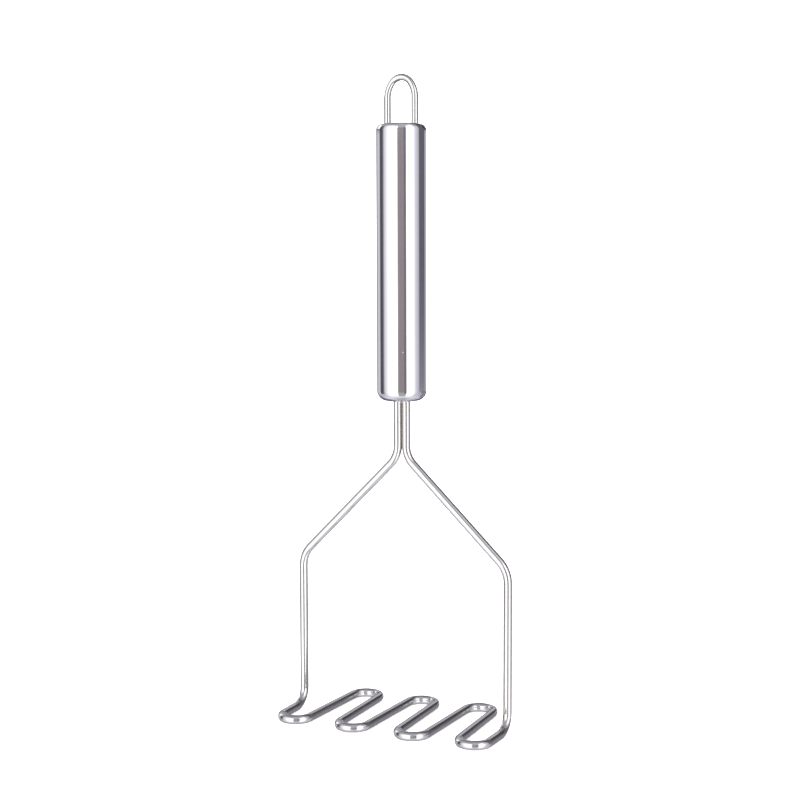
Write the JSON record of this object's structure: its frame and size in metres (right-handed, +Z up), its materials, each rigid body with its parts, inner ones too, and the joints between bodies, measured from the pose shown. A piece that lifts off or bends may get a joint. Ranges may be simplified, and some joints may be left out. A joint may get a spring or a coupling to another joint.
{
  "type": "potato masher",
  "caption": "Stainless steel potato masher: one bent wire forms the zigzag foot, legs and neck, with a hollow round handle and a wire hanging loop.",
  "frame": {"origin": "middle of the foot, on the surface that it stands on", "axes": "+Z up along the handle towards the hanging loop, X along the width of the foot, from leg to leg, and -Y towards the side of the foot that has the outer U bends"},
  "size_m": [0.095, 0.052, 0.26],
  "materials": {
    "wire_steel": "bright drawn and polished stainless steel wire",
    "handle_steel": "mirror-polished stainless steel tube and caps",
    "seam_steel": "weld ground flush and polished with the handle",
    "loop_steel": "bright drawn and polished stainless steel wire",
    "weld_steel": "weld bead, lightly polished"
  },
  "bodies": {
    "root": {"masher_wire": "wire_steel", "handle_tube": "handle_steel", "lower_cap": "handle_steel", "upper_cap": "handle_steel", "lower_seam_weld": "seam_steel", "upper_seam_weld": "seam_steel", "shank_weld": "weld_steel", "hanging_loop": "loop_steel", "loop_welds": "weld_steel"}
  },
  "joints": []
}
